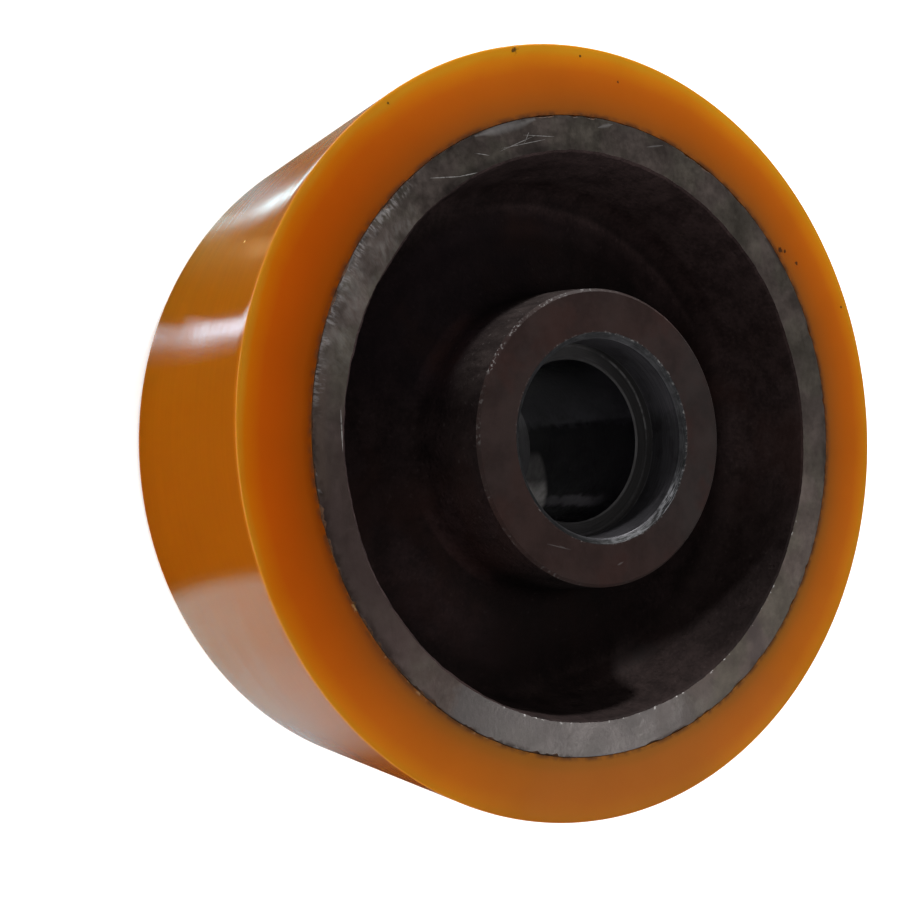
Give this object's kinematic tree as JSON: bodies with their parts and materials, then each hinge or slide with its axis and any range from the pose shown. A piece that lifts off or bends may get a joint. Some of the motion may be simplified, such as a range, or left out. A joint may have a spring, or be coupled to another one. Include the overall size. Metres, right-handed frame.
{
  "type": "polyurethane wheel",
  "caption": "Heavy-duty castor wheel: amber polyurethane tyre bonded to a cast-iron centre with a solid web and open bearing seats in its hub.",
  "frame": {"origin": "the wheel's centre, on its axis and halfway along its hub", "axes": "+Z along the wheel's axis, which is upright while the wheel lies on its side; both ends are alike"},
  "size_m": [0.2, 0.2, 0.084],
  "materials": {
    "cast_iron": "as cast in the pockets, machined on the rim and hub faces and in the bore",
    "polyurethane": "gloss"
  },
  "bodies": {
    "root": {"wheel_centre": "cast_iron", "polyurethane_tyre": "polyurethane"}
  },
  "joints": []
}
